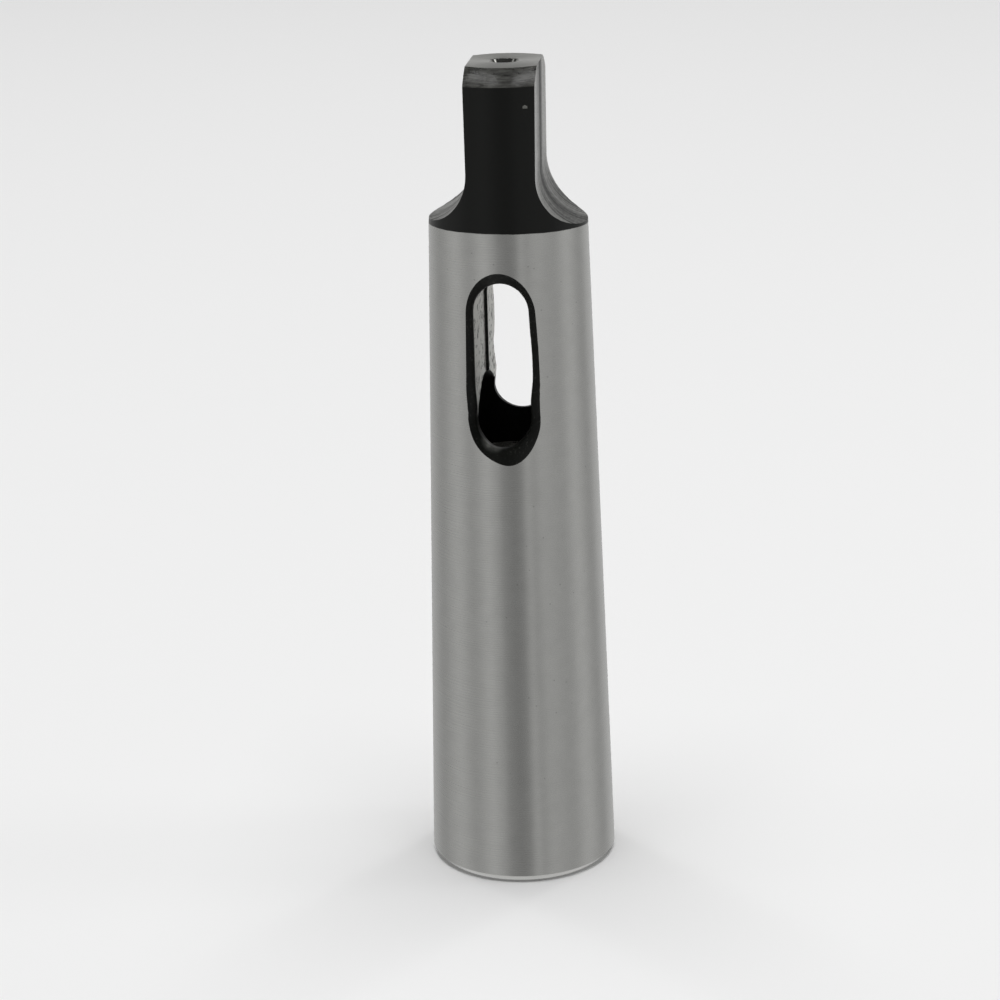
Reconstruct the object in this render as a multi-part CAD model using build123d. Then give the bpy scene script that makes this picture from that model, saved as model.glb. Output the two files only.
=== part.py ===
from build123d import *
from math import radians, sqrt, tan
import os

# A reducing sleeve between two self-holding machine tapers: size 4 outside, size 3 inside.
# It is one piece of steel, turned, milled and ground, and it stands on its large end.
# Z is the axis. The origin is the centre of the large end face, and the tang is at the top.
# The drift slot runs through along Y, and the two flats of the tang face X.
# Lengths are in millimetres and angles in degrees.

# Outer taper, size 4. A taper ratio is the length over which the diameter changes by one.
outer_gauge_diameter = 31.267
outer_gauge_height = 22.5
outer_taper_ratio = 19.254
large_end_chamfer = 1.2

# Socket, size 3: a taper that is widest at the mouth, then a parallel drilled end.
# This wall at the mouth leaves the socket its standard gauge diameter of 23.825.
wall_at_mouth = 4.3053
socket_taper_ratio = 19.922
socket_parallel_length = 11.8
drill_point_angle = 118.0
mouth_chamfer = 1.0

# Drift slot: milled half from the front and half from the back, so the halves meet in a small step
slot_start = 78.0
slot_length = 27.2
slot_width = 9.35
slot_overlap_with_bore = 6.0
slot_front_centre = -0.3
slot_back_centre = 0.45
slot_meeting_depth = 2.6
slot_bevel = 1.35
slot_bevel_angle = 45.0

# Tang: turned with a slight taper and a crowned end, then milled to two flats.
# The flats are milled one at a time, so their arcs end at different heights above the neck.
body_above_slot = 8.4
tang_length = 26.4
tang_neck_step = 0.1
tang_side_angle = 2.0
tang_thickness = 11.3
tang_blend_radius = 9.0
tang_right_foot = 0.15
tang_left_foot = 0.75
tang_end_bevel_width = 3.95
tang_end_bevel_height = 2.6
tang_end_crown = 0.15

# Centre hole in the end of the tang
centre_rim_diameter = 5.0
centre_cone_angle = 60.0
centre_pilot_diameter = 2.5
centre_pilot_depth = 6.0

# How far the milling cuts run past the body
cut_overrun = 5.0

# Heights along the axis that follow from the sizes above, counted from the large end face
bore_depth = slot_start + slot_overlap_with_bore
socket_taper_length = bore_depth - socket_parallel_length
slot_middle = slot_start + slot_length / 2
neck_height = slot_start + slot_length + body_above_slot
total_length = neck_height + tang_length
tang_bevel_start = total_length - tang_end_bevel_height


def outer_radius(height):
    """Radius of the outer taper at a height."""
    return (outer_gauge_diameter - (height - outer_gauge_height) / outer_taper_ratio) / 2


def socket_radius(height):
    """Radius of the tapered socket at a height."""
    return outer_radius(0) - wall_at_mouth - height / socket_taper_ratio / 2


def point_height(radius, full_angle):
    """Height of a drilled or centred cone of a base radius and a full point angle."""
    return radius / tan(radians(full_angle / 2))


tang_root_radius = outer_radius(neck_height) - tang_neck_step


def tang_side_radius(height):
    """Radius of the turned narrow sides of the tang at a height."""
    return tang_root_radius - (height - neck_height) * tan(radians(tang_side_angle))


def turned_blank():
    """The turned form: both tapers, the drilled end of the socket, the round tang and its centre hole."""
    bore_radius = socket_radius(socket_taper_length)
    pilot_radius = centre_pilot_diameter / 2
    rim_radius = centre_rim_diameter / 2
    tang_side_end = (tang_side_radius(tang_bevel_start), tang_bevel_start)
    tang_end_edge = (tang_side_end[0] - tang_end_bevel_width, total_length)
    pilot_bottom = total_length - centre_pilot_depth
    cone_bottom = total_length - point_height(rim_radius - pilot_radius, centre_cone_angle)
    outside = Polyline(
        (outer_radius(0) - large_end_chamfer, 0),
        (outer_radius(large_end_chamfer), large_end_chamfer),
        (outer_radius(neck_height), neck_height),
        (tang_root_radius, neck_height + tang_neck_step),
        tang_side_end,
    )
    crowned_end = SagittaArc(tang_side_end, tang_end_edge, -tang_end_crown)
    centre_hole = Polyline(
        tang_end_edge,
        (rim_radius, total_length),
        (pilot_radius, cone_bottom),
        (pilot_radius, pilot_bottom),
        (0, pilot_bottom - point_height(pilot_radius, drill_point_angle)),
    )
    inside = Polyline(
        (0, pilot_bottom - point_height(pilot_radius, drill_point_angle)),
        (0, bore_depth + point_height(bore_radius, drill_point_angle)),
        (bore_radius, bore_depth),
        (bore_radius, socket_taper_length),
        (socket_radius(mouth_chamfer), mouth_chamfer),
        (socket_radius(0) + mouth_chamfer, 0),
        (outer_radius(0) - large_end_chamfer, 0),
    )
    section = make_face(outside + crowned_end + centre_hole + inside)
    return revolve(Plane.XZ * section, Axis.Z)


def tang_flat_cut(foot_above_neck):
    """The stock milled from the +X side of the tang: a flat that blends out to its foot in a concave arc."""
    half_thickness = tang_thickness / 2
    reach = min(tang_root_radius - half_thickness, tang_blend_radius)
    rise = sqrt(tang_blend_radius**2 - (tang_blend_radius - reach) ** 2)
    lowest = neck_height + foot_above_neck + rise - tang_blend_radius
    width = outer_radius(0) + cut_overrun
    height = total_length + cut_overrun - lowest
    stock = Pos(half_thickness, lowest) * Rectangle(width, height, align=(Align.MIN, Align.MIN))
    inner_low_corner = stock.vertices().sort_by(Axis.Y)[:2].sort_by(Axis.X)[0]
    stock = fillet(inner_low_corner, tang_blend_radius)
    return extrude(Plane.XZ * stock, width, both=True)


def slot_half_cut(centre, side):
    """Half of the drift slot, milled in from the front (side -1) or the back (side 1), with its bevelled rim."""
    edge = slot_width / 2 + slot_bevel
    bevel_depth = slot_bevel / tan(radians(slot_bevel_angle))
    bevel_floor = sqrt(outer_radius(slot_middle) ** 2 - edge**2) - bevel_depth
    reach = outer_radius(0) + cut_overrun
    outline = SlotOverall(slot_length, slot_width, rotation=90)
    outward = (0, side, 0)
    meeting = Plane((centre, slot_meeting_depth, slot_middle), x_dir=(1, 0, 0), z_dir=outward)
    rim = Plane((centre, side * bevel_floor, slot_middle), x_dir=(1, 0, 0), z_dir=outward)
    passage = extrude(meeting * outline, reach)
    bevel = extrude(rim * outline, reach - bevel_floor, taper=-slot_bevel_angle)
    return passage + bevel


def taper_sleeve():
    """The finished sleeve: the turned blank with both flats and both halves of the slot milled away."""
    body = turned_blank() - tang_flat_cut(tang_right_foot)
    body -= mirror(tang_flat_cut(tang_left_foot), Plane.YZ)
    body -= slot_half_cut(slot_front_centre, -1)
    body -= slot_half_cut(slot_back_centre, 1)
    return body


os.makedirs("parts", exist_ok=True)
export_step(taper_sleeve(), "parts/taper_sleeve.step")
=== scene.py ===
import logging
import math
import random
from collections.abc import Callable
from dataclasses import dataclass
from enum import Enum

import bmesh
import bpy
from mathutils import Matrix, Vector


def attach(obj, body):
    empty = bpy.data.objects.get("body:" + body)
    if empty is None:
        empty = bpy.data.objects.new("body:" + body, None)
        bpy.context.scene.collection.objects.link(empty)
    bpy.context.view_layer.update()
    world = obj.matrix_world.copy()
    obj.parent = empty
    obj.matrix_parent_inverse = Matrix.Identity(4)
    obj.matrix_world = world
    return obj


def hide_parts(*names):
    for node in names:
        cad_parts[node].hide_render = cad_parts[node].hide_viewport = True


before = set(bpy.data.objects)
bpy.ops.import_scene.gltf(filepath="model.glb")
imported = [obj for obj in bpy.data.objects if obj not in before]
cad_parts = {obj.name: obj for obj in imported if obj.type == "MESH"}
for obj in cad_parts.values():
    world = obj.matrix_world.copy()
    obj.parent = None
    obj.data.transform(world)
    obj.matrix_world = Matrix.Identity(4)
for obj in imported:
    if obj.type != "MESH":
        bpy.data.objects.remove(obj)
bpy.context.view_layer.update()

# A reducing sleeve for machine tapers: turned, milled, blackened, then ground bright on its tapers.
# Z is its axis, the slot runs through along Y, and the flats of the tang face X.
# Sizes are in millimetres, angles in degrees, and MM turns millimetres into Blender's metres.
MM = 0.001
# Vertices this close are merged, and a place this close to a ring or a plane lies on it.
MERGE_DISTANCE = 0.001
ON_RING = 0.01
ON_PLANE = 0.1
# How the stops of a ramp blend, and the range that nearly all of a noise lies in.
SOFT_STOPS = "EASE"
NOISE_LOW, NOISE_HIGH = 0.3, 0.7
log = logging.getLogger("taper_sleeve")


class Side(Enum):
    """The two sides that a half of the work is milled from, as a sign on its axis."""

    LOW = -1
    HIGH = 1


class BodyFinish(Enum):
    """The material slots of the turned body."""

    GROUND = 0
    BLACK = 1
    TURNED = 2
    FACED = 3
    CENTRE = 4


class SlotFinish(Enum):
    """The material slots of the drift slot's cutters."""

    WALL = 0
    RIM = 1


def linear(hex_colour: str) -> tuple[float, float, float, float]:
    """Turns an sRGB hex colour into the linear colour that sockets take.

    Args:
        hex_colour: Six hex digits, red first.

    Returns:
        Linear red, green, blue and an alpha of one.
    """
    parts = [int(hex_colour[i:i + 2], 16) / 255 for i in (0, 2, 4)]
    red, green, blue = [p / 12.92 if p <= 0.04045 else ((p + 0.055) / 1.055) ** 2.4 for p in parts]
    return red, green, blue, 1.0


def per_mm(*sizes: float) -> tuple[float, ...]:
    """Gives the scales that make one unit of a pattern as long as each size in millimetres."""
    return tuple(1 / (size * MM) for size in sizes)


def set_inputs(tree: bpy.types.NodeTree, node: bpy.types.Node, inputs: dict) -> None:
    """Sets and links the inputs of a node.

    Args:
        tree: The node tree that holds the node.
        node: The node.
        inputs: Constants, or sockets to link from, by input name or number.
    """
    for key, value in inputs.items():
        if isinstance(value, bpy.types.NodeSocket):
            tree.links.new(value, node.inputs[key])
        else:
            node.inputs[key].default_value = value


def add_node(
    tree: bpy.types.NodeTree, kind: str, settings: dict | None = None, inputs: dict | None = None,
) -> bpy.types.Node:
    """Adds a node with its settings and links.

    Args:
        tree: The node tree that gets the node.
        kind: The node's type, without the word that all shader nodes start with.
        settings: Attributes to set on the node. Stops set a colour ramp's places and greys.
        inputs: Constants, or sockets to link from, by input name or number.

    Returns:
        The new node.
    """
    node = tree.nodes.new("ShaderNode" + kind)
    settings = dict(settings or {})
    stops = settings.pop("stops", [])
    for key, value in settings.items():
        setattr(node, key, value)
    for number, (place, grey) in enumerate(stops):
        ramp = node.color_ramp
        stop = ramp.elements[number] if number < len(ramp.elements) else ramp.elements.new(1.0)
        ramp.interpolation = SOFT_STOPS
        stop.position = place
        stop.color = (grey, grey, grey, 1.0)
    set_inputs(tree, node, inputs or {})
    return node


def new_material(name: str) -> tuple[bpy.types.Material, bpy.types.NodeTree, bpy.types.Node]:
    """Makes an empty material.

    Args:
        name: The material's name.

    Returns:
        The material, its node tree and its main shader.
    """
    made = bpy.data.materials.new(name)
    made.use_nodes = True
    return made, made.node_tree, made.node_tree.nodes["Principled BSDF"]


def select_vertices(piece: bpy.types.Object, test: Callable[[Vector], bool]) -> None:
    """Selects the vertices of a piece in edit mode by their place.

    Args:
        piece: The object that is being edited.
        test: Says for a place, in millimetres, whether its vertex is selected.
    """
    bpy.ops.mesh.select_mode(type="VERT")
    bpy.ops.mesh.select_all(action="DESELECT")
    mesh = bmesh.from_edit_mesh(piece.data)
    for vertex in mesh.verts:
        vertex.select_set(test(vertex.co / MM))
    mesh.select_flush(True)
    bmesh.update_edit_mesh(piece.data)


def assign_finish(piece: bpy.types.Object, slot: Enum, test: Callable[[Vector], bool]) -> None:
    """Gives a material slot to the faces of a piece by their place.

    Args:
        piece: The object, in object mode.
        slot: The material slot.
        test: Says for a face's middle, in millimetres, whether it gets the slot.
    """
    for face in piece.data.polygons:
        if test(face.center / MM):
            face.material_index = slot.value


def draw_line(name: str, points: list[Vector]) -> bpy.types.Object:
    """Draws an open line by extruding one vertex from point to point.

    Args:
        name: The new object's name.
        points: The line's points in millimetres.

    Returns:
        The object, in edit mode, with its last vertex selected.
    """
    bpy.ops.object.select_all(action="DESELECT")
    bpy.ops.mesh.primitive_plane_add(size=MM)
    line = bpy.context.object
    line.name = name
    bpy.ops.object.mode_set(mode="EDIT")
    bpy.ops.mesh.select_mode(type="VERT")
    bpy.ops.mesh.select_all(action="SELECT")
    bpy.ops.mesh.merge(type="CENTER")
    bpy.ops.transform.translate(value=points[0] * MM)
    for start, end in zip(points, points[1:]):
        bpy.ops.mesh.extrude_vertices_move(TRANSFORM_OT_translate={"value": (end - start) * MM})
    return line


def close_shell() -> None:
    """Merges the edited mesh's doubles, turns its faces outwards and leaves edit mode."""
    bpy.ops.mesh.select_all(action="SELECT")
    bpy.ops.mesh.remove_doubles(threshold=MERGE_DISTANCE * MM)
    bpy.ops.mesh.normals_make_consistent(inside=False)
    bpy.ops.object.mode_set(mode="OBJECT")


@dataclass(frozen=True)
class BlackOxideSteel:
    """Steel blackened in a hot salt bath and oiled, with the bath's fine even grain."""

    # It gives the eye a dense soft black that turns pale only at a grazing look.
    name: str = "black_oxide_steel"
    colour: str = "10110f"
    roughness: float = 0.36
    roughness_spread: float = 0.06
    shine: float = 0.22
    # The real grain is finer than 0.05 mm. It is drawn coarser, so that it shows.
    grain: float = 0.45
    grain_depth: float = 0.015

    def material(self) -> bpy.types.Material:
        """Makes the material.

        Returns:
            The black, with its grain in its gloss and its bump.
        """
        made, tree, shader = new_material(self.name)
        place = add_node(tree, "TexCoord").outputs["Object"]
        grain = add_node(tree, "TexNoise", inputs={
            "Vector": place, "Scale": per_mm(self.grain)[0], "Detail": 3.0, "Roughness": 0.6})
        rough = add_node(tree, "MapRange", inputs={
            "Value": grain.outputs[0], "From Min": NOISE_LOW, "From Max": NOISE_HIGH,
            "To Min": self.roughness - self.roughness_spread,
            "To Max": self.roughness + self.roughness_spread})
        bump = add_node(tree, "Bump", inputs={
            "Height": grain.outputs[0], "Strength": 0.2, "Distance": self.grain_depth * MM})
        set_inputs(tree, shader, {
            "Base Color": linear(self.colour), "Specular IOR Level": self.shine,
            "Roughness": rough.outputs[0], "Normal": bump.outputs[0]})
        return made


@dataclass(frozen=True)
class FiledBlackRim:
    """Black oxide on a hand-filed rim, with a painted highlight at one place on its inner edge,
    drawn as oxide rubbed thin.
    """

    # It gives the eye a black rim with one soft grey painted highlight and a few pale specks.
    name: str = "filed_black_oxide"
    black: BlackOxideSteel = BlackOxideSteel()
    # The colour of the painted highlight on the slot's lower inner edge.
    rubbed: str = "a0a19c"
    painted_highlight_place: tuple[float, float, float] = (-2.4, -11.0, 78.2)
    painted_highlight_reach: float = 2.3
    roughness: float = 0.45
    cloud: float = 1.6
    cloud_share: float = 0.3
    speck: float = 0.35
    speck_share: float = 0.12

    def material(self) -> bpy.types.Material:
        """Makes the material.

        Returns:
            The black, with its painted highlight patch and its specks.
        """
        made, tree, shader = new_material(self.name)
        place = add_node(tree, "TexCoord").outputs["Object"]
        away = add_node(tree, "VectorMath", {"operation": "DISTANCE"}, {
            0: place, 1: Vector(self.painted_highlight_place) * MM})
        in_painted_highlight = add_node(tree, "MapRange", {"interpolation_type": "SMOOTHSTEP"}, {
            "Value": away.outputs["Value"], "From Max": self.painted_highlight_reach * MM,
            "To Min": 1.0, "To Max": 0.0})
        clouds, specks = (
            add_node(tree, "TexNoise", inputs={
                "Vector": place, "Scale": per_mm(size)[0], "Detail": 3.0}).outputs[0]
            for size in (self.cloud, self.speck))
        patchy = add_node(tree, "MapRange", inputs={
            "Value": clouds, "From Min": 0.35, "From Max": 0.65, "To Min": self.cloud_share})
        painted_highlight_patch = add_node(tree, "Math", {"operation": "MULTIPLY"}, {
            0: in_painted_highlight.outputs[0], 1: patchy.outputs[0]})
        spots = add_node(tree, "MapRange", inputs={
            "Value": specks, "From Min": 0.62, "From Max": 0.72, "To Max": self.speck_share})
        # The painted highlight patch and the real pale specks together.
        bare = add_node(tree, "Math", {"operation": "MAXIMUM"}, {
            0: painted_highlight_patch.outputs[0], 1: spots.outputs[0]})
        colour = add_node(tree, "Mix", {"data_type": "RGBA"}, {
            "Factor": bare.outputs[0], "A": linear(self.black.colour), "B": linear(self.rubbed)})
        bump = add_node(tree, "Bump", inputs={
            "Height": specks, "Strength": 0.2, "Distance": self.black.grain_depth * MM})
        set_inputs(tree, shader, {
            "Base Color": colour.outputs["Result"], "Roughness": self.roughness,
            "Specular IOR Level": self.black.shine, "Normal": bump.outputs[0]})
        return made


@dataclass(frozen=True)
class GroundSteel:
    """Hardened tool steel, ground round after blackening, up to where the wheel ran out."""

    # It gives the eye soft bright bands along the sleeve, fine lines round it, and black above.
    name: str = "ground_tool_steel"
    colour: str = "c4c4c1"
    black: BlackOxideSteel = BlackOxideSteel()
    roughness: float = 0.26
    roughness_spread: float = 0.03
    # The real lines are about 0.02 mm apart. They are drawn coarser, so that they show.
    line_width: float = 0.14
    line_length: float = 14.0
    line_depth: float = 0.006
    mottle: float = 2.5
    mottle_tone: float = 0.94
    speck_spacing: float = 2.6
    speck_size: float = 0.12
    speck_softness: float = 0.4
    speck_tone: float = 0.7
    run_out_height: float = 113.35
    run_out_tilt_x: float = -0.012
    run_out_tilt_y: float = -0.042
    run_out_wobble: float = 0.25
    wobble_length: float = 4.0
    run_out_edge: float = 0.05

    def run_out(
        self, tree: bpy.types.NodeTree, place: bpy.types.NodeSocket,
    ) -> bpy.types.NodeSocket:
        """Works out where the grinding wheel ran out and left the black.

        Args:
            tree: The material's node tree.
            place: Object coordinates.

        Returns:
            Zero on ground steel and one on black.
        """
        parts = add_node(tree, "SeparateXYZ", inputs={0: place}).outputs
        leaned = add_node(tree, "Math", {"operation": "MULTIPLY_ADD"}, {
            0: parts["X"], 1: -self.run_out_tilt_x, 2: parts["Z"]})
        tilted = add_node(tree, "Math", {"operation": "MULTIPLY_ADD"}, {
            0: parts["Y"], 1: -self.run_out_tilt_y, 2: leaned.outputs[0]})
        wobble = add_node(tree, "TexNoise", inputs={
            "Vector": place, "Scale": per_mm(self.wobble_length)[0], "Detail": 3.0})
        height = add_node(tree, "Math", {"operation": "MULTIPLY_ADD"}, {
            0: wobble.outputs[0], 1: self.run_out_wobble * MM, 2: tilted.outputs[0]})
        edge = self.run_out_height + self.run_out_wobble / 2
        return add_node(tree, "MapRange", inputs={
            "Value": height.outputs[0], "From Min": (edge - self.run_out_edge) * MM,
            "From Max": (edge + self.run_out_edge) * MM}).outputs[0]

    def tone(
        self, tree: bpy.types.NodeTree, place: bpy.types.NodeSocket,
    ) -> bpy.types.NodeSocket:
        """Works out how a faint mottle and a few dark specks dull the steel.

        Args:
            tree: The material's node tree.
            place: Object coordinates.

        Returns:
            One on clean steel and less where it is dull.
        """
        mottle = add_node(tree, "TexNoise", inputs={
            "Vector": place, "Scale": per_mm(self.mottle)[0], "Detail": 4.0, "Roughness": 0.6})
        specks = add_node(tree, "TexVoronoi", inputs={
            "Vector": place, "Scale": per_mm(self.speck_spacing)[0], "Randomness": 1.0})
        size = self.speck_size / self.speck_spacing
        clean = add_node(tree, "MapRange", inputs={
            "Value": specks.outputs["Distance"], "From Min": size * (1 - self.speck_softness),
            "From Max": size * (1 + self.speck_softness), "To Min": self.speck_tone, "To Max": 1.0})
        even = add_node(tree, "MapRange", inputs={
            "Value": mottle.outputs[0], "From Min": NOISE_LOW, "From Max": NOISE_HIGH,
            "To Min": self.mottle_tone, "To Max": 1.0})
        return add_node(tree, "Math", {"operation": "MULTIPLY"}, {
            0: even.outputs[0], 1: clean.outputs[0]}).outputs[0]

    def material(self) -> bpy.types.Material:
        """Makes the material.

        Returns:
            The ground steel with its lines, which turns to black at the run-out.
        """
        made, tree, shader = new_material(self.name)
        place = add_node(tree, "TexCoord").outputs["Object"]
        around = add_node(tree, "Mapping", inputs={
            "Vector": place,
            "Scale": per_mm(self.line_length, self.line_length, self.line_width)})
        lines = add_node(tree, "TexNoise", inputs={
            "Vector": around.outputs[0], "Scale": 1.0, "Detail": 4.0, "Roughness": 0.6})
        steel = add_node(tree, "Mix", {"data_type": "RGBA", "blend_type": "MULTIPLY"}, {
            "Factor": 1.0, "A": linear(self.colour), "B": self.tone(tree, place)})
        black = self.run_out(tree, place)
        colour = add_node(tree, "Mix", {"data_type": "RGBA"}, {
            "Factor": black, "A": steel.outputs["Result"], "B": linear(self.black.colour)})
        rough = add_node(tree, "MapRange", inputs={
            "Value": lines.outputs[0], "From Min": NOISE_LOW, "From Max": NOISE_HIGH,
            "To Min": self.roughness - self.roughness_spread,
            "To Max": self.roughness + self.roughness_spread})
        both_rough = add_node(tree, "Mix", {"data_type": "FLOAT"}, {
            "Factor": black, "A": rough.outputs[0], "B": self.black.roughness})
        metal = add_node(tree, "Math", {"operation": "SUBTRACT"}, {0: 1.0, 1: black})
        bump = add_node(tree, "Bump", inputs={
            "Height": lines.outputs[0], "Strength": 0.1, "Distance": self.line_depth * MM})
        tangent = add_node(tree, "Tangent", {"direction_type": "RADIAL", "axis": "Z"})
        set_inputs(tree, shader, {
            "Base Color": colour.outputs["Result"], "Roughness": both_rough.outputs[0],
            "Metallic": metal.outputs[0], "Normal": bump.outputs[0],
            "Tangent": tangent.outputs[0], "Specular IOR Level": self.black.shine,
            "Anisotropic": 0.55, "Anisotropic Rotation": 0.25})
        return made


@dataclass(frozen=True)
class Marks:
    """Marks on a milled flat: how wide across it, how long along it, and how much they count."""

    width: float
    length: float
    share: float


@dataclass(frozen=True)
class WornMilledFlat:
    """Form-milled and blackened steel, rubbed bare in streaks along the cutter's path."""

    # It gives the eye pale streaks that gather towards the edges, with dark tracks between.
    name: str
    # The blend's share of bare steel, which holds painted light as well as wear.
    blend_wear_and_painted_light: float
    colour: str = "949490"
    black: BlackOxideSteel = BlackOxideSteel(roughness=0.5)
    roughness: float = 0.22
    tracks: Marks = Marks(0.6, 60.0, 1.0)
    scratches: Marks = Marks(0.3, 9.0, 0.7)
    scales: Marks = Marks(1.5, 0.5, 0.4)
    bands: Marks = Marks(3.2, 200.0, 1.2)
    mark_depth: float = 0.05
    # Distances from the middle of the flat, and heights on the sleeve.
    wear_start: float = 1.5
    wear_full: float = 8.5
    wear_share: float = 0.6
    bright_edge: float = 6.5
    bright_share: float = 0.3
    blend_foot: float = 115.0
    blend_top: float = 125.5
    # The sums of wear and marks where the black starts to go and where it is gone.
    bare_start: float = 1.54
    bare_full: float = 2.18

    def wear(self, tree: bpy.types.NodeTree, place: bpy.types.NodeSocket) -> bpy.types.NodeSocket:
        """Works out how much the flat is rubbed, before its marks are added, with an even share in
        the blend that holds painted light as well as wear.

        Args:
            tree: The material's node tree.
            place: Object coordinates.

        Returns:
            The wear, which grows towards the edges, and in the blend an even share of wear and
            painted light.
        """
        parts = add_node(tree, "SeparateXYZ", inputs={0: place}).outputs
        out = add_node(tree, "Math", {"operation": "ABSOLUTE"}, {0: parts["Y"]})
        edge = add_node(tree, "MapRange", inputs={
            "Value": out.outputs[0], "From Min": self.wear_start * MM,
            "From Max": self.wear_full * MM})
        rise = add_node(tree, "MapRange", inputs={
            "Value": parts["Z"], "From Min": self.blend_foot * MM,
            "From Max": self.blend_top * MM})
        worn_and_painted_flat = add_node(tree, "Mix", {"data_type": "FLOAT"}, {
            "Factor": rise.outputs[0], "A": self.blend_wear_and_painted_light, "B": edge.outputs[0]})
        rim = add_node(tree, "MapRange", inputs={
            "Value": out.outputs[0], "From Min": self.bright_edge * MM,
            "From Max": self.wear_full * MM, "To Max": self.bright_share})
        rubbed = add_node(tree, "Math", {"operation": "MAXIMUM"}, {
            0: worn_and_painted_flat.outputs[0], 1: rim.outputs[0]})
        return add_node(tree, "Math", {"operation": "MULTIPLY"}, {
            0: rubbed.outputs[0], 1: self.wear_share}).outputs[0]

    def material(self) -> bpy.types.Material:
        """Makes the material.

        Returns:
            The black, rubbed bare in streaks that follow the cutter down through the blend.
        """
        made, tree, shader = new_material(self.name)
        place = add_node(tree, "TexCoord").outputs["Object"]
        sums = [self.wear(tree, place)]
        for marks in (self.tracks, self.scratches, self.scales, self.bands):
            along = add_node(tree, "Mapping", inputs={
                "Vector": place, "Scale": per_mm(marks.length, marks.width, marks.length)})
            noise = add_node(tree, "TexNoise", inputs={
                "Vector": along.outputs[0], "Scale": 1.0, "Detail": 3.0, "Roughness": 0.6})
            sums.append(add_node(tree, "Math", {"operation": "MULTIPLY_ADD"}, {
                0: noise.outputs[0], 1: marks.share, 2: sums[-1]}).outputs[0])
        # The broad bands are rubbed and not cut, so the bump leaves them out.
        *_, cut, streaked = sums
        bare = add_node(tree, "MapRange", inputs={
            "Value": streaked, "From Min": self.bare_start, "From Max": self.bare_full})
        colour = add_node(tree, "Mix", {"data_type": "RGBA"}, {
            "Factor": bare.outputs[0], "A": linear(self.black.colour), "B": linear(self.colour)})
        rough = add_node(tree, "Mix", {"data_type": "FLOAT"}, {
            "Factor": bare.outputs[0], "A": self.black.roughness, "B": self.roughness})
        bump = add_node(tree, "Bump", inputs={
            "Height": cut, "Strength": 0.3, "Distance": self.mark_depth * MM})
        set_inputs(tree, shader, {
            "Base Color": colour.outputs["Result"], "Metallic": bare.outputs[0],
            "Roughness": rough.outputs[0], "Normal": bump.outputs[0],
            "Specular IOR Level": self.black.shine})
        return made


@dataclass(frozen=True)
class ScaledSlotWall:
    """End-milled slot walls with a thin grey scale from hardening."""

    # It gives the eye a dull grey with dark specks, drawn out from the front to the back.
    name: str = "scaled_milled_steel"
    colour: str = "e2e2dd"
    dark: str = "62625f"
    roughness: float = 0.5
    speck_width: float = 1.3
    speck_length: float = 2.2
    speck_depth: float = 0.04

    def material(self) -> bpy.types.Material:
        """Makes the material.

        Returns:
            The grey steel with its drawn-out specks.
        """
        made, tree, shader = new_material(self.name)
        place = add_node(tree, "TexCoord").outputs["Object"]
        along = add_node(tree, "Mapping", inputs={
            "Vector": place,
            "Scale": per_mm(self.speck_width, self.speck_length, self.speck_width)})
        specks = add_node(tree, "TexNoise", inputs={
            "Vector": along.outputs[0], "Scale": 1.0, "Detail": 3.0, "Roughness": 0.65})
        pale = add_node(tree, "MapRange", inputs={
            "Value": specks.outputs[0], "From Min": 0.34, "From Max": 0.48})
        colour = add_node(tree, "Mix", {"data_type": "RGBA"}, {
            "Factor": pale.outputs[0], "A": linear(self.dark), "B": linear(self.colour)})
        bump = add_node(tree, "Bump", inputs={
            "Height": specks.outputs[0], "Strength": 0.3, "Distance": self.speck_depth * MM})
        set_inputs(tree, shader, {
            "Base Color": colour.outputs["Result"], "Metallic": 1.0, "Roughness": self.roughness,
            "Normal": bump.outputs[0]})
        return made


@dataclass(frozen=True)
class TurnedSteel:
    """Steel as it came off the lathe, bare or blackened, with fine lines round the axis."""

    # It gives the eye a faint sheen across the lines, which a lamp breaks into short dashes.
    name: str
    colour: str
    dark: str
    roughness: float
    bare: float
    line_width: float = 0.16
    line_length: float = 2.5
    line_depth: float = 0.02

    def material(self) -> bpy.types.Material:
        """Makes the material.

        Returns:
            The steel with its turning lines.
        """
        made, tree, shader = new_material(self.name)
        place = add_node(tree, "TexCoord").outputs["Object"]
        around = add_node(tree, "Mapping", inputs={
            "Vector": place,
            "Scale": per_mm(self.line_length, self.line_length, self.line_width)})
        lines = add_node(tree, "TexNoise", inputs={
            "Vector": around.outputs[0], "Scale": 1.0, "Detail": 3.0, "Roughness": 0.6})
        pale = add_node(tree, "MapRange", inputs={
            "Value": lines.outputs[0], "From Min": 0.35, "From Max": 0.65})
        colour = add_node(tree, "Mix", {"data_type": "RGBA"}, {
            "Factor": pale.outputs[0], "A": linear(self.dark), "B": linear(self.colour)})
        bump = add_node(tree, "Bump", inputs={
            "Height": lines.outputs[0], "Strength": 0.5, "Distance": self.line_depth * MM})
        tangent = add_node(tree, "Tangent", {"direction_type": "RADIAL", "axis": "Z"})
        set_inputs(tree, shader, {
            "Base Color": colour.outputs["Result"], "Metallic": self.bare,
            "Roughness": self.roughness, "Normal": bump.outputs[0],
            "Tangent": tangent.outputs[0], "Anisotropic": 0.6, "Anisotropic Rotation": 0.25})
        return made


@dataclass(frozen=True)
class FileStroke:
    """A stroke of the hand file on the edge of the slot, as a soft push on the slot's cutter."""

    place: tuple[float, float, float]
    push: tuple[float, float, float]
    reach: float
    grip: float = 1.2


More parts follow.
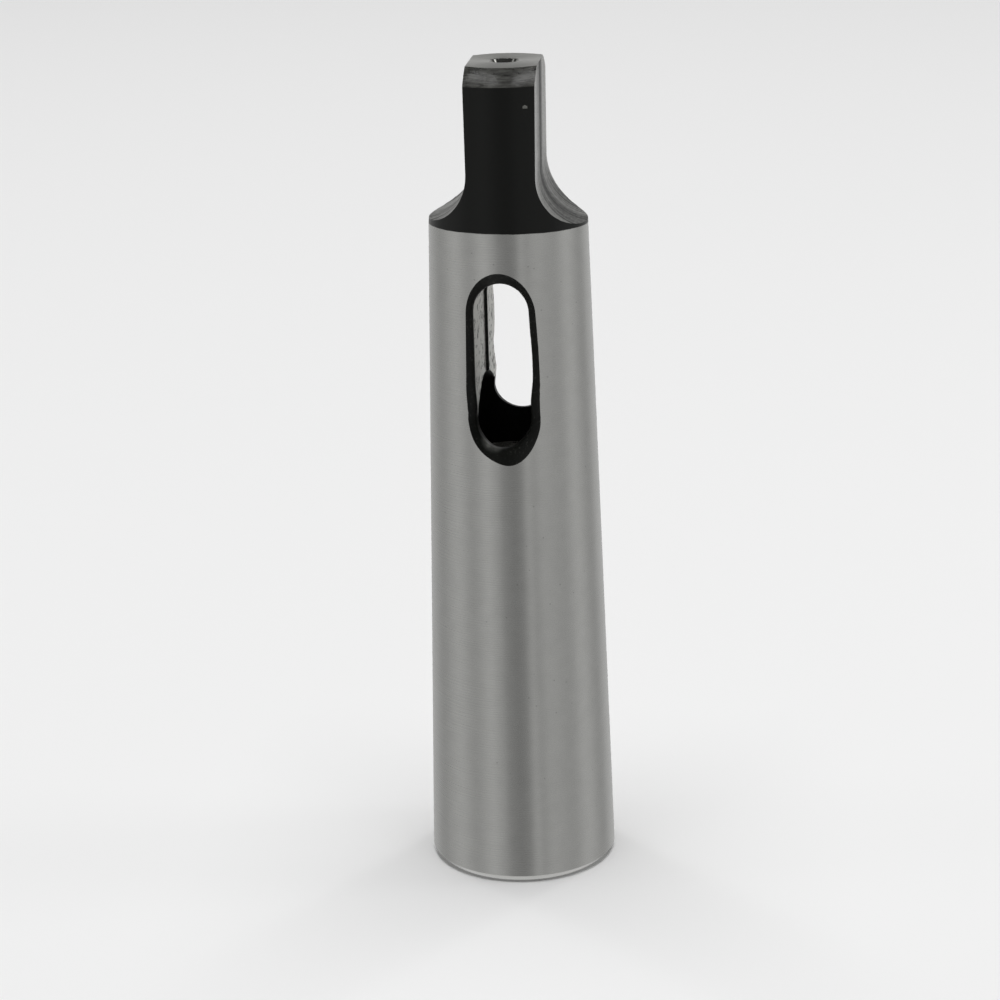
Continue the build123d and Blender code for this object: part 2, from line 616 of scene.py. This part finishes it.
@dataclass
class TaperSleeve:
    """The whole sleeve, one piece of steel, standing on its large end."""

    # Outer taper. A taper is the length over which the diameter changes by one.
    gauge_diameter: float = 31.267
    gauge_height: float = 22.5
    outer_taper: float = 19.254
    end_chamfer: float = 1.2
    end_round: float = 0.2
    # Socket: the taper, then a parallel drilled end.
    wall_at_mouth: float = 4.3053
    socket_taper: float = 19.922
    socket_taper_length: float = 72.2
    bore_depth: float = 84.0
    drill_point: float = 118.0
    mouth_chamfer: float = 1.0
    mouth_round: float = 0.15
    # Drift slot, milled half from each side, with a rim that is bevelled and filed by hand.
    slot_middle: float = 91.6
    slot_length: float = 27.2
    slot_width: float = 9.35
    slot_front_centre: float = -0.3
    slot_back_centre: float = 0.45
    slot_meeting: float = 2.6
    slot_lap: float = 0.02
    slot_bevel: float = 1.35
    slot_bevel_angle: float = 45.0
    slot_inner_round: float = 1.5
    slot_round_steps: int = 6
    slot_rim_reach: float = 15.2
    slot_front_lean: float = 0.25
    slot_unevenness: float = 0.012
    slot_seed: int = 5
    slot_slices: int = 12
    slot_segments: int = 96
    front_strokes: tuple[FileStroke, ...] = (
        FileStroke((5.9, -15.2, 106.7), (-0.45, 0, -0.25), 9.0, 1.5),
        FileStroke((6.0, -12.0, 102.0), (-0.2, 0, 0), 6.0, 2.5),
        FileStroke((6.0, -12.0, 89.5), (0.22, 0, 0), 6.0, 2.5),
        FileStroke((4.6, -11.0, 85.0), (-0.3, 0, 0), 4.0, 1.5),
        FileStroke((8.4, -15.2, 85.0), (0.3, 0, 0), 5.5, 1.5),
        FileStroke((-0.3, -10.8, 78.0), (0, 0, -0.6), 4.0),
        FileStroke((-6.5, -15.2, 76.4), (1.6, 0, 0.9), 12.0, 1.5),
        FileStroke((5.9, -15.2, 76.4), (-0.35, 0, 0.2), 7.0, 1.5),
        FileStroke((-3.2, -11.0, 78.9), (-0.9, 0, -0.95), 5.5, 1.5),
        FileStroke((-8.6, -15.2, 84.4), (-0.4, 0, 0), 4.0, 1.5),
        FileStroke((-2.5, -15.2, 74.2), (0.2, 0, 0.12), 4.5),
    )
    back_strokes: tuple[FileStroke, ...] = (
        FileStroke((0.45, 11.0, 78.0), (0, 0, 0.4), 8.0, 2.0),
        FileStroke((-4.2, 11.0, 85.6), (0.3, 0, 0), 2.8, 0.9),
        FileStroke((-4.2, 11.0, 95.5), (0.2, 0, 0), 6.0, 1.6),
        FileStroke((-4.2, 11.0, 90.1), (-0.12, 0, 0), 2.0, 0.9),
    )
    back_black_height: float = 84.2
    # Tang: turned above the neck, then milled to two flats one at a time.
    neck_height: float = 113.6
    neck_step: float = 0.1
    neck_run: float = 1.0
    length: float = 140.0
    tang_side_angle: float = 2.0
    tang_thickness: float = 11.3
    flat_lean: float = 0.6
    flat_twist: float = 0.8
    right_foot: float = 0.15
    left_foot: float = 0.85
    right_seed: int = 8
    left_seed: int = 6
    # How bare the blends are: partly wear, and set higher on the left than on the right as painted
    # light from the left.
    right_blend_wear_and_painted_light: float = -0.05
    left_blend_wear_and_painted_light: float = 0.2
    blend_radius: float = 9.0
    blend_segments: int = 32
    narrowest_track: float = 0.25
    widest_track: float = 1.1
    track_depth: float = 0.02
    track_margin: float = 1.0
    free_step: float = 2.0
    # End of the tang with its crowned bevel and its centre hole.
    end_bevel_width: float = 3.95
    end_bevel_height: float = 2.6
    end_crown: float = 0.15
    crown_steps: int = 8
    bevel_round: float = 0.2
    end_face_round: float = 0.25
    end_face_depth: float = 0.05
    centre_rim: float = 2.5
    centre_round: float = 0.12
    centre_pilot: float = 1.25
    centre_cone: float = 60.0
    centre_depth: float = 6.0
    # A small dent in the tang's black side: its angle to the right of the front and its height.
    dent_place: tuple[float, float] = (21.7, 134.3)
    dent_ball: float = 0.9
    dent_stretch: tuple[float, float, float] = (1.2, 1.0, 0.75)
    dent_depth: float = 0.12
    dent_unevenness: float = 0.11
    dent_seed: int = 3
    dent_colour: str = "6c6c68"
    # How finely the piece is modelled, and how far the flats' cutters run past it.
    longest_ring: float = 3.0
    round_steps: int = 5
    segments: int = 256
    smooth_angle: float = 28.0
    overrun: float = 22.0

    def outer_radius(self, height: float) -> float:
        """Radius of the outer taper at a height."""
        return (self.gauge_diameter - (height - self.gauge_height) / self.outer_taper) / 2

    def socket_radius(self, height: float) -> float:
        """Radius of the tapered socket at a height."""
        return self.outer_radius(0) - self.wall_at_mouth - height / self.socket_taper / 2

    def bore_radius(self) -> float:
        """Radius of the drilled end of the socket."""
        return self.socket_radius(self.socket_taper_length)

    def tang_root(self) -> float:
        """Radius of the tang where it starts above the neck."""
        return self.outer_radius(self.neck_height) - self.neck_step

    def tang_side(self, height: float) -> float:
        """Radius of the tang's turned sides at a height."""
        narrowing = (height - self.neck_height) * math.tan(math.radians(self.tang_side_angle))
        return self.tang_root() - narrowing

    def bevel_start(self) -> float:
        """Height where the bevel at the end of the tang starts."""
        return self.length - self.end_bevel_height

    def profile(self) -> list[Vector]:
        """Works out the turned outline from the axis in the centre hole to the axis in the bore.

        Returns:
            Points in the XZ plane, in millimetres.
        """
        tip = math.tan(math.radians(self.drill_point / 2))
        pilot_bottom = self.length - self.centre_depth
        cone_slope = math.tan(math.radians(self.centre_cone / 2))
        cone_depth = (self.centre_rim - self.centre_pilot) / cone_slope
        side_end = self.tang_side(self.bevel_start())
        end_edge = side_end - self.end_bevel_width
        bevel_top = Vector((end_edge, 0, self.length))
        bevel_bottom = Vector((side_end, 0, self.bevel_start()))
        bore = self.bore_radius()
        # Each corner has its radius from the axis, its height, and how much it is rounded.
        corners = [
            (0, pilot_bottom - self.centre_pilot / tip, 0),
            (self.centre_pilot, pilot_bottom, 0),
            (self.centre_pilot, self.length - cone_depth, 0),
            (self.centre_rim, self.length, self.centre_round),
            (end_edge, self.length, self.end_face_round),
            *self.crown(bevel_top, bevel_bottom),
            (side_end, self.bevel_start(), self.bevel_round),
            (self.tang_root(), self.neck_height + self.neck_run, 0),
            (self.outer_radius(self.neck_height), self.neck_height, 0),
            (self.outer_radius(self.end_chamfer), self.end_chamfer, self.end_round),
            (self.outer_radius(0) - self.end_chamfer, 0, self.end_round),
            (self.socket_radius(0) + self.mouth_chamfer, 0, self.mouth_round),
            (self.socket_radius(self.mouth_chamfer), self.mouth_chamfer, self.mouth_round),
            (bore, self.socket_taper_length, 0),
            (bore, self.bore_depth, 0),
            (0, self.bore_depth + bore / tip, 0),
        ]
        return self.divided(self.rounded(corners))

    def crown(self, start: Vector, end: Vector) -> list[tuple[float, float, float]]:
        """Works out the bulge of the bevel at the end of the tang.

        Args:
            start: The bevel's upper end in millimetres.
            end: The bevel's lower end in millimetres.

        Returns:
            Corners without rounding between the two ends.
        """
        outward = Vector((start.z - end.z, 0, end.x - start.x)).normalized()
        shares = [step / self.crown_steps for step in range(1, self.crown_steps)]
        points = [start.lerp(end, s) + outward * self.end_crown * 4 * s * (1 - s) for s in shares]
        return [(point.x, point.z, 0) for point in points]

    def rounded(self, corners: list[tuple[float, float, float]]) -> list[Vector]:
        """Rounds the corners of an outline with small arcs.

        Args:
            corners: Radius, height and rounding of each corner.

        Returns:
            Points in the XZ plane.
        """
        points = []
        places = [Vector((radius, 0, height)) for radius, height, _ in corners]
        for number, place in enumerate(places):
            rounding = corners[number][2]
            if rounding == 0:
                points.append(place)
                continue
            before = (places[number - 1] - place).normalized()
            after = (places[number + 1] - place).normalized()
            half = before.angle(after) / 2
            centre = place + (before + after).normalized() * rounding / math.sin(half)
            reach = rounding / math.tan(half)
            first = (place + before * reach - centre).normalized()
            last = (place + after * reach - centre).normalized()
            for step in range(self.round_steps + 1):
                points.append(centre + first.slerp(last, step / self.round_steps) * rounding)
        return points

    def divided(self, points: list[Vector]) -> list[Vector]:
        """Divides the long straight stretches of an outline.

        Args:
            points: The outline.

        Returns:
            The outline with points added.
        """
        found = [points[0]]
        for start, end in zip(points, points[1:]):
            pieces = max(1, math.ceil((end - start).length / self.longest_ring))
            found += [start.lerp(end, step / pieces) for step in range(1, pieces + 1)]
        return found

    def turn_blank(self) -> bpy.types.Object:
        """Turns the outline round the axis.

        Returns:
            The closed blank.
        """
        blank = draw_line("taper_sleeve_body", self.profile())
        bpy.ops.mesh.select_all(action="SELECT")
        bpy.ops.mesh.spin(
            steps=self.segments, angle=2 * math.pi, center=(0, 0, 0), axis=(0, 0, 1))
        close_shell()
        return blank

    def flat_outline(self, side: Side, foot: float) -> list[Vector]:
        """Works out the outline of the stock that is milled off one side of the tang.

        Args:
            side: The side of the sleeve, along X.
            foot: Height of the end of the blend above the neck.

        Returns:
            Points in the XZ plane, in millimetres.
        """
        half = self.tang_thickness / 2
        reach = self.tang_root() - half
        rise = math.sqrt(self.blend_radius ** 2 - (self.blend_radius - reach) ** 2)
        centre = Vector((half + self.blend_radius, 0, self.neck_height + foot + rise))
        top = self.length + self.end_bevel_height
        lean = (top - centre.z) * math.tan(math.radians(self.flat_lean))
        outline = [Vector((self.overrun, 0, top)), Vector((half + lean, 0, top))]
        for step in range(self.blend_segments + 1):
            angle = math.pi / 2 * step / self.blend_segments
            inward = Vector((math.cos(angle), 0, math.sin(angle)))
            outline.append(centre - inward * self.blend_radius)
        outline.append(Vector((self.overrun, 0, centre.z - self.blend_radius)))
        return [Vector((point.x * side.value, 0, point.z)) for point in outline]

    def flat_cutter(self, side: Side, foot: float, seed: int) -> bpy.types.Object:
        """Models the stock that the form cutter mills off one side of the tang.

        Args:
            side: The side of the sleeve, along X.
            foot: Height of the end of the blend above the neck.
            seed: Seed of the cutter's tracks.

        Returns:
            The closed cutter.
        """
        twist = Matrix.Rotation(math.radians(self.flat_twist), 3, "Z")
        start = Vector((0, -self.overrun, 0))
        outline = [twist @ (point + start) for point in self.flat_outline(side, foot)]
        cutter = draw_line("flat_cutter", outline)
        bpy.ops.mesh.select_all(action="SELECT")
        bpy.ops.mesh.edge_face_add()
        chance = random.Random(seed)
        reached, depth = -self.overrun, 0.0
        while reached < self.overrun:
            on_tang = abs(reached) < self.tang_root() + self.track_margin
            step = self.free_step
            if on_tang:
                step = chance.uniform(self.narrowest_track, self.widest_track)
            new_depth = chance.uniform(-self.track_depth, self.track_depth)
            move = Vector(((new_depth - depth) * side.value, step, new_depth - depth))
            bpy.ops.mesh.extrude_region_move(TRANSFORM_OT_translate={"value": twist @ move * MM})
            reached += step
            depth = new_depth
        close_shell()
        return cutter

    def slot_rings(self) -> list[tuple[float, float]]:
        """Works out the slot cutter's rings from the wall out over the rounded edge and the bevel.

        Returns:
            Distance from the sleeve's middle plane and half width of each ring.
        """
        radius = self.slot_width / 2
        edge = radius + self.slot_bevel
        # At 45 degrees the bevel goes out as far as it goes up.
        floor = math.sqrt(self.outer_radius(self.slot_middle) ** 2 - edge ** 2) - self.slot_bevel
        turn = math.radians(self.slot_bevel_angle)
        low = floor - self.slot_inner_round * math.tan(turn / 2)
        rings = []
        for step in range(self.slot_round_steps + 1):
            angle = turn * step / self.slot_round_steps
            rings.append((low + self.slot_inner_round * math.sin(angle),
                          radius + self.slot_inner_round * (1 - math.cos(angle))))
        rings.append((self.slot_rim_reach, rings[-1][1] + self.slot_rim_reach - rings[-1][0]))
        return rings

    def slot_blank(self, centre: float, side: Side) -> bpy.types.Object:
        """Models the stock of half the drift slot as the cutter leaves it, before filing.

        Args:
            centre: The slot's middle across the sleeve.
            side: The side that the half is milled from, along Y.

        Returns:
            The stock, in edit mode.
        """
        rings = self.slot_rings()
        sign = side.value
        # The back half starts a hair early, so that no skin is left where the halves meet.
        start = self.slot_meeting * sign - (self.slot_lap if side is Side.HIGH else 0)
        depth = rings[0][0] - start
        middle = Vector((centre, sign * (start + depth / 2), self.slot_middle))
        bpy.ops.object.select_all(action="DESELECT")
        bpy.ops.mesh.primitive_cylinder_add(
            vertices=self.slot_segments, radius=rings[0][1] * MM, depth=depth * MM,
            location=middle * MM, rotation=(math.pi / 2, math.pi / self.slot_segments, 0))
        cutter = bpy.context.object
        cutter.name = "slot_cutter"
        bpy.ops.object.transform_apply(location=True, rotation=True, scale=True)
        bpy.ops.object.mode_set(mode="EDIT")
        select_vertices(cutter, lambda co: sign * co.y > rings[0][0] - ON_RING)
        for (low, small), (high, large) in zip(rings, rings[1:]):
            bpy.ops.mesh.extrude_region_move(TRANSFORM_OT_translate={
                "value": Vector((0, sign * (high - low), 0)) * MM})
            bpy.ops.transform.resize(
                value=(large / small, 1, large / small),
                center_override=Vector((centre, sign * high, self.slot_middle)) * MM)
        straight = (self.slot_length - self.slot_width) / 2
        for way in (1, -1):
            select_vertices(cutter, lambda co: (co.z - self.slot_middle) * way > 0)
            bpy.ops.transform.translate(value=(0, 0, straight * way * MM))
        for number in range(1, self.slot_slices):
            height = self.slot_middle + straight * (2 * number / self.slot_slices - 1)
            bpy.ops.mesh.select_all(action="SELECT")
            bpy.ops.mesh.bisect(plane_co=(0, 0, height * MM), plane_no=(0, 0, 1))
        return cutter

    def slot_cutter(
        self, centre: float, side: Side, strokes: tuple[FileStroke, ...],
    ) -> bpy.types.Object:
        """Models the stock of half the drift slot with its hand-filed rim.

        Args:
            centre: The slot's middle across the sleeve.
            side: The side that the half is milled from, along Y.
            strokes: Strokes of the file on the half's edges.

        Returns:
            The closed cutter.
        """
        cutter = self.slot_blank(centre, side)
        sign = side.value
        edge = self.slot_rings()[0][0]
        for stroke in strokes:
            select_vertices(cutter, lambda co: (co - Vector(stroke.place)).length < stroke.grip)
            bpy.ops.transform.translate(
                value=Vector(stroke.push) * MM, use_proportional_edit=True,
                proportional_edit_falloff="SMOOTH", proportional_size=stroke.reach * MM)
        if side is Side.LOW:
            select_vertices(cutter, lambda co: abs(co.y - self.slot_meeting) < ON_PLANE)
            bpy.ops.transform.translate(value=(self.slot_front_lean * MM, 0, 0))
        select_vertices(cutter, lambda co: sign * co.y > edge - ON_RING)
        bpy.ops.transform.vertex_random(
            offset=self.slot_unevenness * MM, uniform=1.0, seed=self.slot_seed + sign)
        close_shell()
        return cutter

    def dent_cutter(self) -> bpy.types.Object:
        """Models the lump that leaves a small dent in the black side of the tang.

        Returns:
            The closed cutter.
        """
        turn, height = math.radians(self.dent_place[0]), self.dent_place[1]
        radius = self.tang_side(height) + self.dent_ball - self.dent_depth
        place = Vector((math.sin(turn) * radius, -math.cos(turn) * radius, height))
        bpy.ops.object.select_all(action="DESELECT")
        bpy.ops.mesh.primitive_ico_sphere_add(
            subdivisions=2, radius=self.dent_ball * MM, location=place * MM)
        bpy.ops.object.transform_apply(location=True, rotation=True, scale=True)
        lump = bpy.context.object
        lump.name = "dent_cutter"
        bpy.ops.transform.resize(value=self.dent_stretch, center_override=place * MM)
        bpy.ops.object.transform_apply(location=True, rotation=True, scale=True)
        bpy.ops.object.mode_set(mode="EDIT")
        bpy.ops.mesh.select_all(action="SELECT")
        bpy.ops.transform.vertex_random(
            offset=self.dent_unevenness * MM, uniform=1.0, seed=self.dent_seed)
        close_shell()
        return lump

    def mill(self, blank: bpy.types.Object, cutter: bpy.types.Object) -> None:
        """Cuts a cutter out of the blank with the cutter's finishes, and removes the cutter.

        Args:
            blank: The sleeve so far.
            cutter: The closed stock to take away.
        """
        bpy.ops.object.select_all(action="DESELECT")
        bpy.context.view_layer.objects.active = blank
        blank.select_set(True)
        cut = blank.modifiers.new("mill", "BOOLEAN")
        cut.operation = "DIFFERENCE"
        cut.solver = "EXACT"
        cut.material_mode = "TRANSFER"
        cut.object = cutter
        bpy.ops.object.modifier_apply(modifier=cut.name)
        bpy.data.objects.remove(cutter)

    def dress_blank(self, body: bpy.types.Object) -> None:
        """Gives the turned blank its finishes, in the order of their slots.

        Args:
            body: The turned blank.
        """
        finishes = (
            GroundSteel(),
            BlackOxideSteel(),
            TurnedSteel(
                "turned_black_steel", "4a4a47", "262624", roughness=0.2, bare=0.0,
                line_width=0.28, line_length=1.8, line_depth=0.05),
            TurnedSteel("faced_end_steel", "b6b6b1", "a9a9a4", roughness=0.36, bare=1.0),
            TurnedSteel("polished_centre_steel", "b0b0ac", "8c8c88", roughness=0.14, bare=1.0),
        )
        for finish in finishes:
            body.data.materials.append(finish.material())
        in_bore = self.bore_radius() + ON_PLANE
        assign_finish(body, BodyFinish.BLACK, lambda co: (
            co.z > self.socket_taper_length and co.xy.length < in_bore))
        assign_finish(body, BodyFinish.TURNED, lambda co: co.z > self.bevel_start())
        assign_finish(body, BodyFinish.FACED, lambda co: co.z > self.length - self.end_face_depth)
        assign_finish(body, BodyFinish.CENTRE, lambda co: (
            co.z > self.neck_height and co.xy.length < self.centre_rim))

    def mill_flats(self, body: bpy.types.Object) -> None:
        """Mills both flats of the tang with their worn finish, whose left blend is lighter than the
        right as painted light.

        Args:
            body: The dressed blank.
        """
        left = WornMilledFlat("worn_milled_flat_left", self.left_blend_wear_and_painted_light)
        right = WornMilledFlat("worn_milled_flat_right", self.right_blend_wear_and_painted_light)
        flats = (
            (Side.LOW, self.left_foot, self.left_seed, left),
            (Side.HIGH, self.right_foot, self.right_seed, right),
        )
        for side, foot, seed, finish in flats:
            cutter = self.flat_cutter(side, foot, seed)
            cutter.data.materials.append(finish.material())
            self.mill(body, cutter)

    def mill_slot(self, body: bpy.types.Object) -> None:
        """Mills both halves of the drift slot, with grey walls and black rims and lower ends.

        Args:
            body: The sleeve with its flats.
        """
        wall = ScaledSlotWall().material()
        rim = FiledBlackRim().material()
        edge = self.slot_rings()[0][0]
        low_end = self.slot_middle - (self.slot_length - self.slot_width) / 2
        halves = (
            (Side.LOW, self.slot_front_centre, self.front_strokes, low_end),
            (Side.HIGH, self.slot_back_centre, self.back_strokes, self.back_black_height),
        )
        for side, centre, strokes, black_height in halves:
            cutter = self.slot_cutter(centre, side, strokes)
            for finish in (wall, rim):
                cutter.data.materials.append(finish)
            assign_finish(cutter, SlotFinish.RIM, lambda co: (
                side.value * co.y > edge or co.z < black_height
                or abs(co.y - self.slot_meeting) < ON_PLANE))
            self.mill(body, cutter)

    def dent_side(self, body: bpy.types.Object) -> None:
        """Leaves the small scuffed dent in the black side of the tang.

        Args:
            body: The milled sleeve.
        """
        lump = self.dent_cutter()
        scuffed = BlackOxideSteel("scuffed_black_oxide", self.dent_colour)
        lump.data.materials.append(scuffed.material())
        self.mill(body, lump)

    def build(self) -> bpy.types.Object:
        """Makes the finished sleeve and puts it in place of its CAD node.

        Returns:
            The sleeve.
        """
        body = self.turn_blank()
        self.dress_blank(body)
        self.mill_flats(body)
        self.mill_slot(body)
        self.dent_side(body)
        bpy.ops.object.shade_smooth_by_angle(angle=math.radians(self.smooth_angle))
        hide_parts("taper_sleeve")
        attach(body, "root")
        return body


@dataclass(frozen=True)
class Softbox:
    """A soft lamp, with its place to the right, away from the camera and up, and its glow."""

    name: str
    place: tuple[float, float, float]
    width: float
    length: float
    glow: float
    reflected: bool = True


@dataclass
class Studio:
    """The floor, the soft light and the camera."""

    floor_size: float = 6000.0
    floor_colour: str = "f0f0f0"
    # How far up a direction points, from level to straight up, and how bright the room is there.
    room: tuple[tuple[float, float], ...] = ((0.0, 0.75), (0.3, 0.6), (0.45, 0.06), (1.0, 0.06))
    wall_radius: float = 60.0
    wall_top: float = 170.0
    wall_foot: float = -60.0
    wall_sides: int = 128
    # Angle round the sleeve from the camera's side, to the right, and how bright the wall is there.
    cloths: tuple[tuple[float, float], ...] = (
        (-180, 0.6), (-130, 0.5), (-107, 0.41), (-75, 0.57), (-54, 0.43), (-33, 0.58),
        (-22, 0.47), (-14, 0.32), (-2, 0.27), (5, 0.3), (15, 0.53), (21, 0.42),
        (31, 0.51), (59, 0.44), (79, 0.58), (107, 0.41), (130, 0.55), (180, 0.6))
    softboxes: tuple[Softbox, ...] = (
        Softbox("softbox_overhead", (0, 0, 4000), 3000, 3000, 4.8, reflected=False),
        Softbox("strip_left", (-1000, 1275, 4000), 240, 2050, 5.0),
        Softbox("strip_right", (1070, 1275, 4000), 240, 2050, 6.2),
        Softbox("card_left", (-520, 0, 440), 150, 250, 1.0),
        Softbox("card_right", (520, 0, 440), 150, 250, 2.4),
    )
    lit_height: float = 100.0
    focal_length: float = 94.084
    sensor_width: float = 36.0
    nearest: float = 10.0
    farthest: float = 50000.0
    distance: float = 449.424
    elevation: float = 17.798
    azimuth: float = 6.849
    roll: float = -1.588
    aim_sideways: float = -2.676
    aim_height: float = 64.623

    def lay_floor(self) -> bpy.types.Object:
        """Lays the pale floor that the sleeve stands on.

        Returns:
            The floor.
        """
        bpy.ops.object.select_all(action="DESELECT")
        bpy.ops.mesh.primitive_plane_add(size=self.floor_size * MM)
        floor = bpy.context.object
        floor.name = "floor"
        made, tree, shader = new_material("matt_white_board")
        set_inputs(tree, shader, {
            "Base Color": linear(self.floor_colour), "Specular IOR Level": 0.0})
        floor.data.materials.append(made)
        # Reflections see the tent wall run on below, so that the bands reach the sleeve's foot.
        floor.visible_glossy = False
        return floor

    def light_room(self) -> bpy.types.World:
        """Lights the room softly and evenly from all round, with a dimmer ceiling.

        Returns:
            The room's light.
        """
        world = bpy.data.worlds.new("soft_room")
        world.use_nodes = True
        bpy.context.scene.world = world
        tree = world.node_tree
        direction = add_node(tree, "TexCoord").outputs["Generated"]
        parts = add_node(tree, "SeparateXYZ", inputs={0: direction})
        rise = add_node(tree, "ValToRGB", {"stops": self.room}, {0: parts.outputs["Z"]})
        tree.links.new(rise.outputs[0], tree.nodes["Background"].inputs["Color"])
        return world

    def tent_cloth(self) -> bpy.types.Material:
        """Makes the tent wall's cloth.

        Returns:
            A glow that changes round the sleeve: pale cloths with darker gaps between them.
        """
        made, tree, _ = new_material("tent_cloth")
        place = add_node(tree, "TexCoord").outputs["Object"]
        turned = add_node(tree, "VectorRotate", {"rotation_type": "Z_AXIS"}, {
            "Vector": place, "Angle": -math.radians(self.azimuth)})
        parts = add_node(tree, "SeparateXYZ", inputs={0: turned.outputs[0]}).outputs
        front = add_node(tree, "Math", {"operation": "MULTIPLY"}, {0: parts["Y"], 1: -1.0})
        angle = add_node(tree, "Math", {"operation": "ARCTAN2"}, {
            0: parts["X"], 1: front.outputs[0]})
        share = add_node(tree, "MapRange", inputs={
            "Value": angle.outputs[0], "From Min": -math.pi, "From Max": math.pi})
        stops = [(turn / 360 + 0.5, level) for turn, level in self.cloths]
        cloth = add_node(tree, "ValToRGB", {"stops": stops}, {0: share.outputs[0]})
        glow = add_node(tree, "Emission", inputs={"Color": cloth.outputs[0]})
        tree.links.new(glow.outputs[0], tree.nodes["Material Output"].inputs["Surface"])
        return made

    def hang_wall(self) -> bpy.types.Object:
        """Hangs the tent wall round the sleeve, which only reflections see.

        Returns:
            The wall.
        """
        bpy.ops.object.select_all(action="DESELECT")
        bpy.ops.mesh.primitive_cylinder_add(
            vertices=self.wall_sides, radius=self.wall_radius * MM,
            depth=(self.wall_top - self.wall_foot) * MM, end_fill_type="NOTHING",
            location=(0, 0, (self.wall_top + self.wall_foot) / 2 * MM))
        wall = bpy.context.object
        wall.name = "tent_wall"
        wall.data.materials.append(self.tent_cloth())
        for ray in ("camera", "diffuse", "transmission", "volume_scatter", "shadow"):
            setattr(wall, f"visible_{ray}", False)
        return wall

    def hang_lamp(self, box: Softbox) -> bpy.types.Object:
        """Hangs a softbox that faces the sleeve.

        Args:
            box: The softbox.

        Returns:
            The lamp.
        """
        place = Matrix.Rotation(math.radians(self.azimuth), 3, "Z") @ Vector(box.place)
        outward = place - Vector((0, 0, self.lit_height))
        bpy.ops.object.select_all(action="DESELECT")
        bpy.ops.object.light_add(type="AREA", location=place * MM)
        lamp = bpy.context.object
        lamp.name = box.name
        lamp.rotation_euler = outward.to_track_quat("Z", "Y").to_euler()
        lamp.data.shape = "RECTANGLE"
        lamp.data.size = box.width * MM
        lamp.data.size_y = box.length * MM
        lamp.data.energy = math.pi * box.width * box.length * MM * MM * box.glow
        lamp.visible_camera = False
        lamp.visible_glossy = box.reflected
        return lamp

    def place_camera(self) -> bpy.types.Object:
        """Places the camera at the height, angle and distance that the sleeve is looked at from.

        Returns:
            The camera.
        """
        turn, lift, roll = (math.radians(a) for a in (self.azimuth, self.elevation, self.roll))
        back = Vector((
            math.sin(turn) * math.cos(lift), -math.cos(turn) * math.cos(lift), math.sin(lift)))
        level = Vector((math.cos(turn), math.sin(turn), 0))
        upright = back.cross(level)
        right = level * math.cos(roll) + upright * math.sin(roll)
        up = upright * math.cos(roll) - level * math.sin(roll)
        aim = Vector((0, 0, self.aim_height)) + right * self.aim_sideways
        bpy.ops.object.select_all(action="DESELECT")
        bpy.ops.object.camera_add()
        camera = bpy.context.object
        camera.name = "camera"
        camera.data.lens = self.focal_length
        camera.data.sensor_width = self.sensor_width
        camera.data.clip_start = self.nearest * MM
        camera.data.clip_end = self.farthest * MM
        camera.matrix_world = Matrix((right, up, back)).transposed().to_4x4()
        camera.location = (aim + back * self.distance) * MM
        bpy.context.scene.camera = camera
        return camera

    def build(self) -> None:
        """Sets up the floor, the light and the camera."""
        self.lay_floor()
        self.light_room()
        self.hang_wall()
        for box in self.softboxes:
            self.hang_lamp(box)
        self.place_camera()
        view = bpy.context.scene.view_settings
        view.view_transform = "Standard"
        view.look = "None"


def main() -> None:
    """Builds the sleeve and its studio."""
    logging.basicConfig(level=logging.INFO, format="%(name)s: %(message)s")
    body = TaperSleeve().build()
    log.info("%s has %d faces", body.name, len(body.data.polygons))
    Studio().build()
    log.info("studio is set")


if __name__ == "__main__":
    main()
